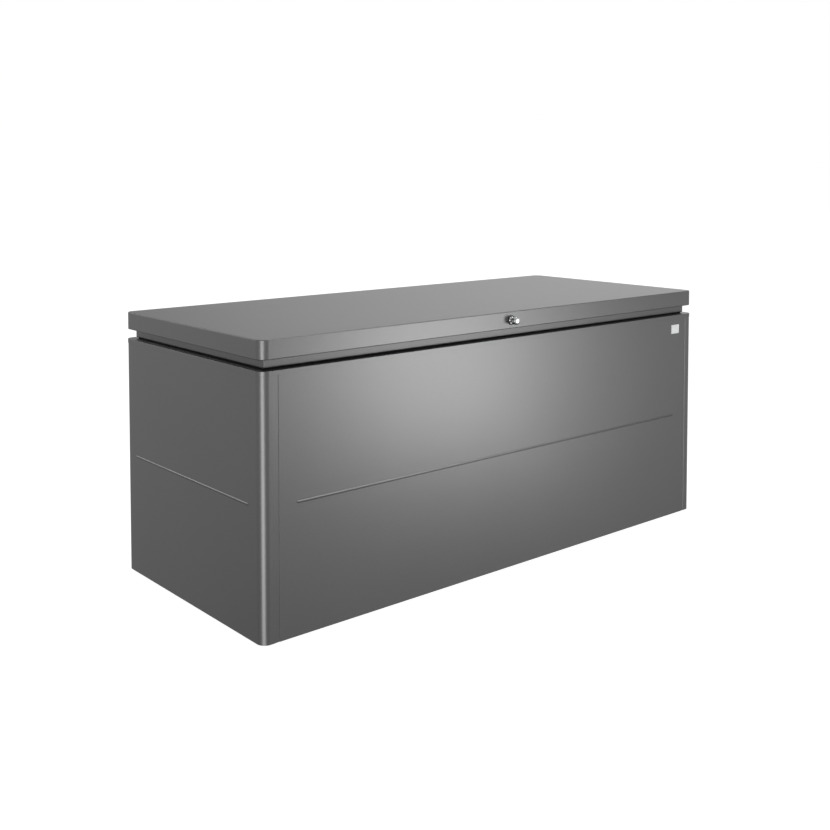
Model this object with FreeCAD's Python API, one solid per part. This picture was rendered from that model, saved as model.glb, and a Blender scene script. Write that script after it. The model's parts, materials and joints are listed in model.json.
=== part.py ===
import FreeCAD, Part
import math
import os

V = FreeCAD.Vector
TOLERANCE = 1e-6

# Whole box, lid shut. Width is along X, depth along Y with the front at -Y, and height along Z.
WIDTH = 2000.0
DEPTH = 840.0
HEIGHT = 885.0

# Steel sheet and the outer skin. An inset is measured inwards from the box's outermost upright faces.
SHEET = 1.2
PANEL_INSET = 1.2
CORNER_R = 28.0
PANEL_BOTTOM = 14.5
HEM_TOP = 54.5
HEM_END = 10.0
SKIN_INNER = PANEL_INSET + SHEET
HEM_INNER = SKIN_INNER + SHEET

# Seams between the front or rear panel and the side panels
SEAM_X = 940.0
CHANNEL_WIDTH = 15.0
LAP = 22.0
STEP_LAP = 2.0
STEP_R = 1.0

# Pressed bead across the panels
BEAD_Z = 407.5
BEAD_HALF_FRONT = 881.0
BEAD_HALF_SIDE = 351.0
BEAD_HEIGHT = 8.0
BEAD_CREST = 2.4
BEAD_PROUD = 1.8
BEAD_END = 5.0

# Rim round the top of the cabinet
RIM_TOP = 796.0
RIM_BAND = 14.0
RIM_LEDGE = 38.0
RIM_DROP = 33.4
RIM_EDGE_R = 0.9
RIM_INNER_R = 4.0
PANEL_TOP = RIM_TOP - SHEET

# Base frame and floor
GLIDE_HEIGHT = 16.0
GLIDE_R = 15.0
GLIDE_INSET = 52.0
GLIDE_END_INSET = 90.0
RAIL_TOP = 56.0
RAIL_DEPTH = 64.0
RAIL_SHEET = 2.0
RAIL_END_INSET = 30.0
CROSS_X = 480.0
CROSS_WIDTH = 40.0
FLOOR_SHEET = 1.5
FLOOR_INSET = 6.0
FLOOR_CORNER_R = 20.0
FLOOR_TOP = RAIL_TOP + FLOOR_SHEET
FLOOR_RIB_X = (-780.0, -600.0, -360.0, -180.0, 0.0, 180.0, 360.0, 600.0, 780.0)
FLOOR_RIB_HALF = 300.0
FLOOR_RIB_WIDTH = 30.0
FLOOR_RIB_CREST = 22.0
FLOOR_RIB_PROUD = 3.0
GUSSET_LEG = 90.0
GUSSET_LAP = 16.0
GUSSET_SHEET = 2.0

# Uprights inside the panels
POST_WIDTH = 56.0
POST_FOOT = 16.0
POST_SHEET = 1.5
POST_DEPTH = RIM_LEDGE - SHEET - SKIN_INNER

# Lid slab
LID_BOTTOM = 827.7
LID_EDGE_R = 2.5
LID_HEM_R = 2.6
LID_FLANGE = 40.0

# Collar under the lid, and its seal
COLLAR_INSET = 28.0
COLLAR_FLANGE = 40.0
COLLAR_BOTTOM = 798.6
COLLAR_BEND_R = 5.0
SEAL_OUTER = 32.0
SEAL_INNER = 37.5
SEAL_CORNER_R = 5.0
SEAL_CLEAR = 0.3

# Stiffening ribs under the lid's top sheet
LID_RIB_X = (-760.0, -260.0, 260.0, 760.0)
LID_RIB_WIDTH = 60.0
LID_RIB_FOOT = 18.0
LID_RIB_DEPTH = 26.0
LID_RIB_HALF = 395.0

# Lid hinges, whose axis runs along X in the gap behind the collar
HINGE_Y = 409.0
HINGE_Z = 804.0
HINGE_X = (-700.0, 0.0, 700.0)
KNUCKLES = 5
KNUCKLE_LENGTH = 18.0
KNUCKLE_R = 6.0
KNUCKLE_GAP = 0.4
LEAF = 1.6
WEB = 2.0
PIN_R = 2.5
PIN_FIT = 0.05
PIN_HEAD_R = 4.2
PIN_HEAD = 2.0

# Gas struts. Both pivots lie on one circle about the hinge axis, at these angles from +Y towards +Z.
STRUT_X = 948.0
LINK_R = 191.5
FOOT_ANGLE = math.radians(246.39)
HEAD_ANGLE = math.radians(176.26)
TUBE_R = 9.0
TUBE_WALL = 1.5
TUBE_START = 12.0
TUBE_LENGTH = 173.0
TUBE_END_WALL = 3.0
GUIDE_LENGTH = 10.0
ROD_R = 4.0
ROD_FIT = 0.05
PISTON_R = 7.3
PISTON_START = 18.0
PISTON_LENGTH = 6.0
EYE_R = 9.0
EYE_THICK = 8.0
STUD_R = 4.0
STUD_BASE_R = 10.0
STUD_BASE = 3.0
STUD_HEAD_R = 6.0
STUD_HEAD = 2.0
STUD_CLEAR = 0.3
BRACKET_INSET = 40.0
BRACKET_SHEET = 2.5
BRACKET_HALF = 34.0
BRACKET_BOTTOM = 802.2
BRACKET_FOOT = 24.0

# Lock in the middle of the lid's front
LOCK_X = -11.0
LOCK_Z = 856.0
LOCK_HOLE_R = 9.1
HOUSING_R = 9.0
HOUSING_FLANGE_R = 15.0
HOUSING_FLANGE = 5.0
HOUSING_LENGTH = 28.0
ROSETTE_R = 16.5
ROSETTE_THICK = 2.0
ROSETTE_BEVEL = 0.8
ROSETTE_BORE_R = 8.4
SPINDLE_R = 6.0
SPINDLE_FIT = 0.05
SPINDLE_LENGTH = 50.0
NECK_R = 8.0
NECK_START = 0.3
HEAD_START = 13.0
HEAD_R = 13.5
HEAD_END = 30.0
NECK_FLARE = 2.0
HEAD_BACK_BEVEL = 1.0
HEAD_BEVEL = 2.0
PLUG_R = 6.2
PLUG_FIT = 0.05
PLUG_DEPTH = 8.0
PLUG_CLEAR = 0.2
PLUG_SET_BACK = 0.4
KEYWAY_HALF = 4.0
KEYWAY_WIDTH = 1.6
KEYWAY_DEPTH = 5.0
HOOK_INSET = 42.0
HOOK_THICK = 4.0
HOOK_WIDTH = 12.0
HOOK_HUB_R = 11.0
HOOK_REACH = 77.0
HOOK_THROAT = 69.0
HOOK_NOSE = 27.0
NUT_R = 9.0
NUT_THICK = 5.0
KEEPER_HALF = 36.0
KEEPER_SHEET = 2.0
KEEPER_TONGUE = 11.0
KEEPER_CLEAR = 2.5
KEEPER_X = (8.0, 26.0)

# Badge plate on the front panel
BADGE_X = 890.2
BADGE_Z = 741.4
BADGE_WIDTH = 47.0
BADGE_HEIGHT = 34.0
BADGE_THICK = 1.0
BADGE_R = 1.5

# Fasteners
STUD_NUT_R = 6.0
STUD_NUT_THICK = 4.5
SEAM_STUD_R = 2.6
SEAM_STUD_LENGTH = 8.0
SEAM_STUD_Z = (110.0, 270.0, 430.0, 590.0, 740.0)
SCREW_R = 5.0
SCREW_THICK = 2.2
SCREW_DISH = 0.8
FLOOR_SCREW_INSET = 52.0
FLOOR_SCREW_X = (-720.0, -240.0, 240.0, 720.0)
FLOOR_SCREW_Y = (-150.0, 150.0)
HINGE_SCREW_X = (-27.0, 27.0)


# --- Plain solids --------------------------------------------------------------------------------


def box(x0, x1, y0, y1, z0, z1):
    """A block between two corners."""
    return Part.makeBox(x1 - x0, y1 - y0, z1 - z0, V(x0, y0, z0))


def cylinder(start, direction, radius, length):
    """A round bar from a point along a direction."""
    return Part.makeCylinder(radius, length, V(*start), V(*direction))


def prism(points, direction):
    """A flat outline of straight sides, pushed along a direction."""
    corners = [V(*point) for point in points]
    return Part.Face(Part.makePolygon(corners + corners[:1])).extrude(V(*direction))


def turned(profile, centre, axis):
    """A full turn of a closed outline about an axis."""
    corners = [V(*point) for point in profile]
    face = Part.Face(Part.makePolygon(corners + corners[:1]))
    return face.revolve(V(*centre), V(*axis), 360)


def joined(first, *others):
    """One solid made of pieces that meet."""
    solids = first.multiFuse(list(others)).removeSplitter().Solids
    if len(solids) != 1:
        raise ValueError("the pieces do not meet")
    return solids[0]


def only_solid(shape):
    """The one solid that a cut leaves."""
    if len(shape.Solids) != 1:
        raise ValueError("the cut leaves more than one piece")
    return shape.Solids[0]


def rounded(shape, radius, wanted):
    """Rounds the edges whose middle passes the test."""
    edges = [edge for edge in shape.Edges if wanted(edge)]
    return shape.makeFillet(radius, edges)


def upright(edge):
    """Whether an edge is straight and vertical."""
    ends = edge.BoundBox
    return ends.XLength < TOLERANCE and ends.YLength < TOLERANCE


def level_at(edge, height):
    """Whether an edge lies flat at a height."""
    ends = edge.BoundBox
    return abs(ends.ZMin - height) < TOLERANCE and abs(ends.ZMax - height) < TOLERANCE


def mirrored(shape):
    """The same piece on the other side of the middle of the box."""
    return shape.mirror(V(0, 0, 0), V(1, 0, 0))


# --- The box's outline and its walls -------------------------------------------------------------


def plate(inset, corner, z0, z1):
    """A plate with the box's outline, moved inwards, with round corners."""
    half_x = WIDTH / 2 - inset
    half_y = DEPTH / 2 - inset
    return rounded(box(-half_x, half_x, -half_y, half_y, z0, z1), corner, upright)


def ring(outer, inner, outer_r, inner_r, z0, z1):
    """A closed band between two insets."""
    return only_solid(plate(outer, outer_r, z0, z1).cut(plate(inner, inner_r, z0, z1)))


def on_wall(shape, side):
    """Moves a piece drawn against a wall to its side of the box.

    It is drawn with X along the wall, Y inwards from the outermost face and Z up."""
    turn = {"front": 0, "right": 90, "rear": 180, "left": 270}[side]
    reach = DEPTH / 2 if side in ("front", "rear") else WIDTH / 2
    placed = shape.copy()
    placed.translate(V(0, -reach, 0))
    placed.rotate(V(0, 0, 0), V(0, 0, 1), turn)
    return placed


def frustum(length, height, crest, proud, end):
    """A long low bump that stands out towards -Y from the plane y = 0."""
    base = [(-length / 2, -height / 2), (length / 2, -height / 2)]
    top = [(-length / 2 + end, -crest / 2), (length / 2 - end, -crest / 2)]
    rows = []
    for (left, right), y in ((base, 0), (top, -proud)):
        low = left[1]
        points = [V(left[0], y, low), V(right[0], y, low), V(right[0], y, -low), V(left[0], y, -low)]
        rows.append(Part.makePolygon(points + points[:1]))
    return Part.makeLoft(rows, True, True)


def pressed(sheet, bump, back):
    """Presses a bump into a sheet, hollow behind, keeping the sheet's thickness."""
    hollow = bump.copy()
    hollow.translate(back)
    return only_solid(joined(sheet, bump).cut(hollow))


def hat_section(width, foot, depth, sheet, length):
    """A hat channel against the plane y = 0 with its crown at y = depth, running up from z = 0."""
    wall = width / 2
    half = [(wall - sheet, 0), (wall + foot, 0), (wall + foot, sheet), (wall, sheet), (wall, depth)]
    inner = [(-wall + sheet, depth - sheet), (wall - sheet, depth - sheet)]
    outline = [(x, y, 0) for x, y in half]
    outline += [(-x, y, 0) for x, y in reversed(half)]
    outline += [(x, y, 0) for x, y in inner]
    return prism(outline, (0, 0, length))


def c_channel(outer, inner, z0, z1, sheet, half_length):
    """A channel against a wall, with its web outwards and its two flanges inwards."""
    web = box(-half_length, half_length, outer, outer + sheet, z0, z1)
    bottom = box(-half_length, half_length, outer, inner, z0, z0 + sheet)
    top = box(-half_length, half_length, outer, inner, z1 - sheet, z1)
    return joined(web, bottom, top)


# --- Cabinet skin --------------------------------------------------------------------------------


def side_panel():
    """Right side panel: it wraps both corners and steps in behind the front and rear panels."""
    step_x = SEAM_X + CHANNEL_WIDTH
    skin = ring(PANEL_INSET, SKIN_INNER, CORNER_R, CORNER_R - SHEET, PANEL_BOTTOM, PANEL_TOP)
    skin = only_solid(skin.common(box(step_x, WIDTH, -DEPTH, DEPTH, 0, HEIGHT)))
    skin = rounded(skin, STEP_R, lambda edge: upright(edge) and outer_step(edge, step_x))
    near = DEPTH / 2 - HEM_INNER
    far = DEPTH / 2 - SKIN_INNER
    rear_strip = box(SEAM_X - LAP, step_x + STEP_LAP, near, far, PANEL_BOTTOM, PANEL_TOP)
    front_strip = rear_strip.mirror(V(0, 0, 0), V(0, 1, 0))
    hem_half = DEPTH / 2 - CORNER_R - HEM_END
    hem = on_wall(box(-hem_half, hem_half, SKIN_INNER, HEM_INNER, PANEL_BOTTOM, HEM_TOP), "right")
    panel = joined(skin, hem, rear_strip, front_strip)
    bump = frustum(2 * BEAD_HALF_SIDE, BEAD_HEIGHT, BEAD_CREST, BEAD_PROUD, BEAD_END)
    bump.translate(V(0, PANEL_INSET, BEAD_Z))
    return pressed(panel, on_wall(bump, "right"), V(-SHEET, 0, 0))


def outer_step(edge, step_x):
    """Whether an upright edge is the outer corner of the step beside the seam."""
    at = edge.CenterOfMass
    return abs(at.x - step_x) < TOLERANCE and abs(abs(at.y) - (DEPTH / 2 - PANEL_INSET)) < TOLERANCE


def long_panel(side):
    """Front or rear panel: flat sheet with a hemmed bottom edge and the bead."""
    sheet = box(-SEAM_X, SEAM_X, PANEL_INSET, SKIN_INNER, PANEL_BOTTOM, PANEL_TOP)
    hem_half = SEAM_X - LAP - SHEET
    hem = box(-hem_half, hem_half, SKIN_INNER, HEM_INNER, PANEL_BOTTOM, HEM_TOP)
    bump = frustum(2 * BEAD_HALF_FRONT, BEAD_HEIGHT, BEAD_CREST, BEAD_PROUD, BEAD_END)
    bump.translate(V(0, PANEL_INSET, BEAD_Z))
    return on_wall(pressed(joined(sheet, hem), bump, V(0, SHEET, 0)), side)


def top_rim():
    """Rim: a band outside the panels, a ledge over them and a turned-down inner edge."""
    outer_r = CORNER_R + PANEL_INSET
    band = ring(0, PANEL_INSET, outer_r, CORNER_R, RIM_TOP - RIM_BAND, RIM_TOP)
    ledge = ring(0, RIM_LEDGE, outer_r, RIM_INNER_R, RIM_TOP - SHEET, RIM_TOP)
    down_from = RIM_LEDGE - SHEET
    down = ring(down_from, RIM_LEDGE, RIM_INNER_R + SHEET, RIM_INNER_R, RIM_TOP - RIM_DROP, RIM_TOP)
    rim = joined(band, ledge, down)
    return rounded(rim, RIM_EDGE_R, lambda edge: level_at(edge, RIM_TOP) and outermost(edge))


def outermost(edge):
    """Whether an edge lies on the outline of the whole box."""
    ends = edge.BoundBox
    reach_x = max(abs(ends.XMin), abs(ends.XMax))
    reach_y = max(abs(ends.YMin), abs(ends.YMax))
    return reach_x > WIDTH / 2 - PANEL_INSET or reach_y > DEPTH / 2 - PANEL_INSET


def badge_plate():
    """Small blank plate on the front panel."""
    blank = box(-BADGE_WIDTH / 2, BADGE_WIDTH / 2, 0, BADGE_THICK, -BADGE_HEIGHT / 2, BADGE_HEIGHT / 2)
    blank = rounded(blank, BADGE_R, lambda edge: edge.BoundBox.YLength > BADGE_THICK / 2)
    blank.translate(V(BADGE_X, PANEL_INSET - BADGE_THICK, BADGE_Z))
    return on_wall(blank, "front")


# --- Base and uprights ---------------------------------------------------------------------------


def base_rail(side):
    """One rail of the base frame."""
    long_side = side in ("front", "rear")
    half = WIDTH / 2 - RAIL_END_INSET if long_side else DEPTH / 2 - HEM_INNER - RAIL_DEPTH
    rail = c_channel(HEM_INNER, HEM_INNER + RAIL_DEPTH, GLIDE_HEIGHT, RAIL_TOP, RAIL_SHEET, half)
    return on_wall(rail, side)


def cross_member(x):
    """Front-to-back hat channel under the floor, crown down."""
    half = DEPTH / 2 - HEM_INNER - RAIL_DEPTH
    depth = RAIL_TOP - GLIDE_HEIGHT
    member = hat_section(CROSS_WIDTH, POST_FOOT, depth, RAIL_SHEET, 2 * half)
    member.rotate(V(0, 0, 0), V(1, 0, 0), -90)
    member.translate(V(x, -half, RAIL_TOP))
    return member


def floor_panel():
    """Floor sheet with pressed ribs."""
    sheet = plate(FLOOR_INSET, FLOOR_CORNER_R, RAIL_TOP, FLOOR_TOP)
    for x in FLOOR_RIB_X:
        bump = frustum(2 * FLOOR_RIB_HALF, FLOOR_RIB_WIDTH, FLOOR_RIB_CREST, FLOOR_RIB_PROUD, BEAD_END)
        bump.rotate(V(0, 0, 0), V(1, 0, 0), -90)
        bump.rotate(V(0, 0, 0), V(0, 0, 1), 90)
        bump.translate(V(x, 0, FLOOR_TOP))
        sheet = pressed(sheet, bump, V(0, 0, -FLOOR_SHEET))
    return sheet


def foot_glides():
    """Round pads under the rails and the middle cross member."""
    under_rail = DEPTH / 2 - GLIDE_INSET
    far = WIDTH / 2 - GLIDE_END_INSET
    places = [(0, 0)]
    for x in (-far, -CROSS_X, 0, CROSS_X, far):
        places += [(x, -under_rail), (x, under_rail)]
    return Part.makeCompound([cylinder((x, y, 0), (0, 0, 1), GLIDE_R, GLIDE_HEIGHT) for x, y in places])


def corner_gussets():
    """Triangular plates that tie the base rails together at each corner."""
    x = WIDTH / 2 - HEM_INNER - RAIL_DEPTH + GUSSET_LAP
    y = DEPTH / 2 - HEM_INNER - RAIL_DEPTH + GUSSET_LAP
    z = GLIDE_HEIGHT + RAIL_SHEET
    gussets = []
    for sign_x in (-1, 1):
        for sign_y in (-1, 1):
            corners = [(x, y), (x - GUSSET_LEG, y), (x, y - GUSSET_LEG)]
            outline = [(sign_x * a, sign_y * b, z) for a, b in corners]
            gussets.append(prism(outline, (0, 0, GUSSET_SHEET)))
    return Part.makeCompound(gussets)


def post(side, along):
    """Upright hat channel from the floor to the rim's ledge."""
    channel = hat_section(POST_WIDTH, POST_FOOT, POST_DEPTH, POST_SHEET, PANEL_TOP - FLOOR_TOP)
    channel.translate(V(along, SKIN_INNER, FLOOR_TOP))
    return on_wall(channel, side)


# --- Lid -----------------------------------------------------------------------------------------


def lid_shell():
    """Lid slab: top sheet, skirt and a flange turned in under it, with the lock's hole."""
    top = plate(PANEL_INSET, CORNER_R, HEIGHT - SHEET, HEIGHT)
    skirt = ring(PANEL_INSET, SKIN_INNER, CORNER_R, CORNER_R - SHEET, LID_BOTTOM, HEIGHT)
    flange = ring(PANEL_INSET, LID_FLANGE, CORNER_R, RIM_INNER_R, LID_BOTTOM, LID_BOTTOM + SHEET)
    slab = joined(top, skirt, flange)
    slab = rounded(slab, LID_EDGE_R, lambda edge: level_at(edge, HEIGHT))
    slab = rounded(slab, LID_HEM_R, lambda edge: level_at(edge, LID_BOTTOM) and lid_outline(edge))
    hole = cylinder((LOCK_X, -DEPTH / 2, LOCK_Z), (0, 1, 0), LOCK_HOLE_R, RIM_LEDGE)
    return only_solid(slab.cut(hole))


def lid_outline(edge):
    """Whether an edge lies on the outer outline of the lid."""
    ends = edge.BoundBox
    reach_x = max(abs(ends.XMin), abs(ends.XMax))
    reach_y = max(abs(ends.YMin), abs(ends.YMax))
    return reach_x > WIDTH / 2 - SKIN_INNER or reach_y > DEPTH / 2 - SKIN_INNER


def lid_collar(side):
    """One side of the set-back collar, mitred at its ends."""
    half = (WIDTH if side in ("front", "rear") else DEPTH) / 2
    collar = c_channel(COLLAR_INSET, COLLAR_FLANGE, COLLAR_BOTTOM, LID_BOTTOM, SHEET, half)
    outer = (COLLAR_INSET, COLLAR_BOTTOM)
    inner = (COLLAR_INSET + SHEET, COLLAR_BOTTOM + SHEET)
    collar = rounded(collar, COLLAR_BEND_R, lambda edge: runs_at(edge, outer, half))
    collar = rounded(collar, COLLAR_BEND_R - SHEET, lambda edge: runs_at(edge, inner, half))
    reach = 2 * COLLAR_FLANGE
    mitre = [(-half, 0, 0), (half, 0, 0), (half - reach, reach, 0), (-half + reach, reach, 0)]
    return on_wall(only_solid(collar.common(prism(mitre, (0, 0, HEIGHT)))), side)


def runs_at(edge, place, half):
    """Whether an edge runs the whole length of a channel at an inset and a height."""
    at = edge.CenterOfMass
    whole = edge.BoundBox.XLength > half
    return whole and abs(at.y - place[0]) < TOLERANCE and abs(at.z - place[1]) < TOLERANCE


def lid_seal():
    """Soft seal under the collar's flange, just clear of the rim's ledge."""
    bottom = RIM_TOP + SEAL_CLEAR
    inner_r = SEAL_CORNER_R / 2
    return ring(SEAL_OUTER, SEAL_INNER, SEAL_CORNER_R, inner_r, bottom, COLLAR_BOTTOM)


def lid_rib(x):
    """Front-to-back hat channel under the lid's top sheet, crown down."""
    rib = hat_section(LID_RIB_WIDTH, LID_RIB_FOOT, LID_RIB_DEPTH, SHEET, 2 * LID_RIB_HALF)
    rib.rotate(V(0, 0, 0), V(1, 0, 0), -90)
    rib.translate(V(x, -LID_RIB_HALF, HEIGHT - SHEET))
    return rib


# --- Hinges --------------------------------------------------------------------------------------


def knuckle(x, index):
    """One barrel section of a hinge, solid."""
    start = x - KNUCKLES * KNUCKLE_LENGTH / 2 + index * KNUCKLE_LENGTH + KNUCKLE_GAP / 2
    return cylinder((start, HINGE_Y, HINGE_Z), (1, 0, 0), KNUCKLE_R, KNUCKLE_LENGTH - KNUCKLE_GAP)


def leaf_with_barrel(x, leaf, first, web):
    """A hinge leaf with every second knuckle, bored for the pin."""
    pieces = []
    for index in range(first, KNUCKLES, 2):
        barrel = knuckle(x, index)
        ends = barrel.BoundBox
        pieces += [barrel, box(ends.XMin, ends.XMax, *web)]
    half = KNUCKLES * KNUCKLE_LENGTH / 2
    bore = cylinder((x - half, HINGE_Y, HINGE_Z), (1, 0, 0), PIN_R + PIN_FIT, 2 * half)
    return only_solid(joined(leaf, *pieces).cut(bore))


def body_leaf(x):
    """Hinge leaf that lies on the rim's ledge."""
    half = KNUCKLES * KNUCKLE_LENGTH / 2
    back = DEPTH / 2 - WEB
    leaf = box(x - half, x + half, HINGE_Y - KNUCKLE_R - WEB, back, RIM_TOP, RIM_TOP + LEAF)
    web = (HINGE_Y - WEB / 2, HINGE_Y + WEB / 2, RIM_TOP, HINGE_Z)
    return leaf_with_barrel(x, leaf, 0, web)


def lid_leaf(x):
    """Hinge leaf that lies on the back of the collar."""
    half = KNUCKLES * KNUCKLE_LENGTH / 2
    face = DEPTH / 2 - COLLAR_INSET
    low = HINGE_Z - WEB / 2
    leaf = box(x - half, x + half, face, face + LEAF, low, LID_BOTTOM - WEB)
    web = (face, HINGE_Y, low, low + WEB)
    return leaf_with_barrel(x, leaf, 1, web)


def hinge_pins():
    """Headed pins through the three hinges."""
    half = KNUCKLES * KNUCKLE_LENGTH / 2
    pins = []
    for x in HINGE_X:
        shank = cylinder((x - half, HINGE_Y, HINGE_Z), (1, 0, 0), PIN_R, 2 * half)
        head = cylinder((x - half - PIN_HEAD, HINGE_Y, HINGE_Z), (1, 0, 0), PIN_HEAD_R, PIN_HEAD)
        tail = cylinder((x + half, HINGE_Y, HINGE_Z), (1, 0, 0), PIN_HEAD_R, PIN_HEAD)
        pins.append(joined(shank, head, tail))
    return Part.makeCompound(pins)


# --- Gas struts, drawn for the right-hand end ----------------------------------------------------


def pivot(angle):
    """A strut pivot's place in the Y-Z plane, at an angle round the hinge axis."""
    return HINGE_Y + LINK_R * math.cos(angle), HINGE_Z + LINK_R * math.sin(angle)


def along_strut(shape):
    """Moves a piece drawn up the Z axis on to the line between the two strut pivots."""
    foot_y, foot_z = pivot(FOOT_ANGLE)
    head_y, head_z = pivot(HEAD_ANGLE)
    lean = math.degrees(math.atan2(foot_y - head_y, head_z - foot_z))
    placed = shape.copy()
    placed.rotate(V(0, 0, 0), V(1, 0, 0), lean)
    placed.translate(V(STRUT_X, foot_y, foot_z))
    return placed


def strut_length():
    """Distance between the strut's pivots with the lid shut."""
    foot_y, foot_z = pivot(FOOT_ANGLE)
    head_y, head_z = pivot(HEAD_ANGLE)
    return math.hypot(head_y - foot_y, head_z - foot_z)


def strut_cylinder():
    """Gas cylinder with its lower eye and its rod guide."""
    top = TUBE_START + TUBE_LENGTH
    tube = cylinder((0, 0, TUBE_START), (0, 0, 1), TUBE_R, TUBE_LENGTH)
    bore_start = TUBE_START + TUBE_END_WALL
    bore = cylinder((0, 0, bore_start), (0, 0, 1), TUBE_R - TUBE_WALL, top - GUIDE_LENGTH - bore_start)
    guide = cylinder((0, 0, bore_start), (0, 0, 1), ROD_R + ROD_FIT, TUBE_LENGTH)
    eye = cylinder((-EYE_THICK / 2, 0, 0), (1, 0, 0), EYE_R, EYE_THICK)
    neck = cylinder((0, 0, 0), (0, 0, 1), EYE_THICK / 2, bore_start)
    hole = cylinder((-EYE_THICK, 0, 0), (1, 0, 0), STUD_R + PIN_FIT, 2 * EYE_THICK)
    body = joined(tube, eye, neck).cut(bore).cut(guide)
    return along_strut(only_solid(body.cut(hole)))


def strut_rod():
    """Piston rod with its piston, its upper eye and the ball stud towards the lid's bracket."""
    length = strut_length()
    rod = cylinder((0, 0, PISTON_START), (0, 0, 1), ROD_R, length - PISTON_START)
    piston = cylinder((0, 0, PISTON_START), (0, 0, 1), PISTON_R, PISTON_LENGTH)
    eye = cylinder((-EYE_THICK / 2, 0, length), (1, 0, 0), EYE_R, EYE_THICK)
    stud_end = WIDTH / 2 - BRACKET_INSET - BRACKET_SHEET - STUD_CLEAR - STRUT_X
    stud = cylinder((0, 0, length), (1, 0, 0), STUD_R, stud_end)
    cap = cylinder((-EYE_THICK / 2 - STUD_HEAD, 0, length), (1, 0, 0), STUD_HEAD_R, STUD_HEAD)
    return along_strut(joined(rod, piston, eye, stud, cap))


def strut_foot():
    """Ball stud on the side post, which the cylinder's eye turns on."""
    foot_y, foot_z = pivot(FOOT_ANGLE)
    post_face = WIDTH / 2 - SKIN_INNER - POST_DEPTH
    eye_outer = STRUT_X - EYE_THICK / 2 - STUD_CLEAR
    base = cylinder((post_face, foot_y, foot_z), (-1, 0, 0), STUD_BASE_R, STUD_BASE)
    shank = cylinder((post_face, foot_y, foot_z), (-1, 0, 0), STUD_R, post_face - eye_outer)
    head = cylinder((eye_outer, foot_y, foot_z), (-1, 0, 0), STUD_HEAD_R, STUD_HEAD)
    return joined(base, shank, head)


def strut_bracket():
    """Angle plate on the lid's flange that the upper ball stud bears on."""
    head_y, head_z = pivot(HEAD_ANGLE)
    low_y = head_y - BRACKET_HALF
    high_y = head_y + BRACKET_HALF
    outer = WIDTH / 2 - BRACKET_INSET
    foot_z = LID_BOTTOM + SHEET
    plate_down = box(outer - BRACKET_SHEET, outer, low_y, high_y, BRACKET_BOTTOM, foot_z + BRACKET_SHEET)
    foot = box(outer - BRACKET_SHEET, outer + BRACKET_FOOT, low_y, high_y, foot_z, foot_z + BRACKET_SHEET)
    return joined(plate_down, foot)


# --- Lock, drawn about the middle of the box -----------------------------------------------------


def at_lock(shape):
    """Moves a piece from the middle of the box to the lock's place along the front."""
    placed = shape.copy()
    placed.translate(V(LOCK_X, 0, 0))
    return placed


def lock_part(profile):
    """Turns a profile of (radius, distance out from the lid's face) about the lock's axis."""
    face = -DEPTH / 2 + PANEL_INSET
    points = [(radius, face - out, LOCK_Z) for radius, out in profile]
    return turned(points, (0, 0, LOCK_Z), (0, 1, 0))


def lock_rosette():
    """Dark collar ring on the lid's face."""
    profile = [(ROSETTE_BORE_R, 0), (ROSETTE_R, 0), (ROSETTE_R, ROSETTE_THICK - ROSETTE_BEVEL)]
    profile += [(ROSETTE_R - ROSETTE_BEVEL, ROSETTE_THICK), (ROSETTE_BORE_R, ROSETTE_THICK)]
    return lock_part(profile)


def lock_housing():
    """Bearing barrel through the lid's front, with a flange behind the sheet."""
    bore = SPINDLE_R + SPINDLE_FIT
    profile = [(bore, 0), (HOUSING_R, 0), (HOUSING_R, -SHEET), (HOUSING_FLANGE_R, -SHEET)]
    profile += [(HOUSING_FLANGE_R, -SHEET - HOUSING_FLANGE), (HOUSING_R, -SHEET - HOUSING_FLANGE)]
    profile += [(HOUSING_R, -HOUSING_LENGTH), (bore, -HOUSING_LENGTH)]
    return lock_part(profile)


def lock_knob():
    """Turning knob with its neck and spindle, bored for the key plug."""
    bore = PLUG_R + PLUG_FIT
    floor = HEAD_END - PLUG_DEPTH
    profile = [(0, -SPINDLE_LENGTH), (SPINDLE_R, -SPINDLE_LENGTH), (SPINDLE_R, NECK_START)]
    profile += [(NECK_R, NECK_START), (NECK_R, HEAD_START - NECK_FLARE), (NECK_R + NECK_FLARE, HEAD_START)]
    profile += [(HEAD_R - HEAD_BACK_BEVEL, HEAD_START), (HEAD_R, HEAD_START + HEAD_BACK_BEVEL)]
    profile += [(HEAD_R, HEAD_END - HEAD_BEVEL), (HEAD_R - HEAD_BEVEL, HEAD_END)]
    profile += [(bore, HEAD_END), (bore, floor), (0, floor)]
    return lock_part(profile)


def lock_plug():
    """Key plug in the knob's face, with its keyway."""
    start = HEAD_END - PLUG_DEPTH + PLUG_CLEAR
    end = HEAD_END - PLUG_SET_BACK
    plug = lock_part([(0, start), (PLUG_R, start), (PLUG_R, end), (0, end)])
    face = -DEPTH / 2 + PANEL_INSET - end
    half = KEYWAY_WIDTH / 2
    slot = box(-half, half, face, face + KEYWAY_DEPTH, LOCK_Z - KEYWAY_HALF, LOCK_Z + KEYWAY_HALF)
    return only_solid(plug.cut(slot))


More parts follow.
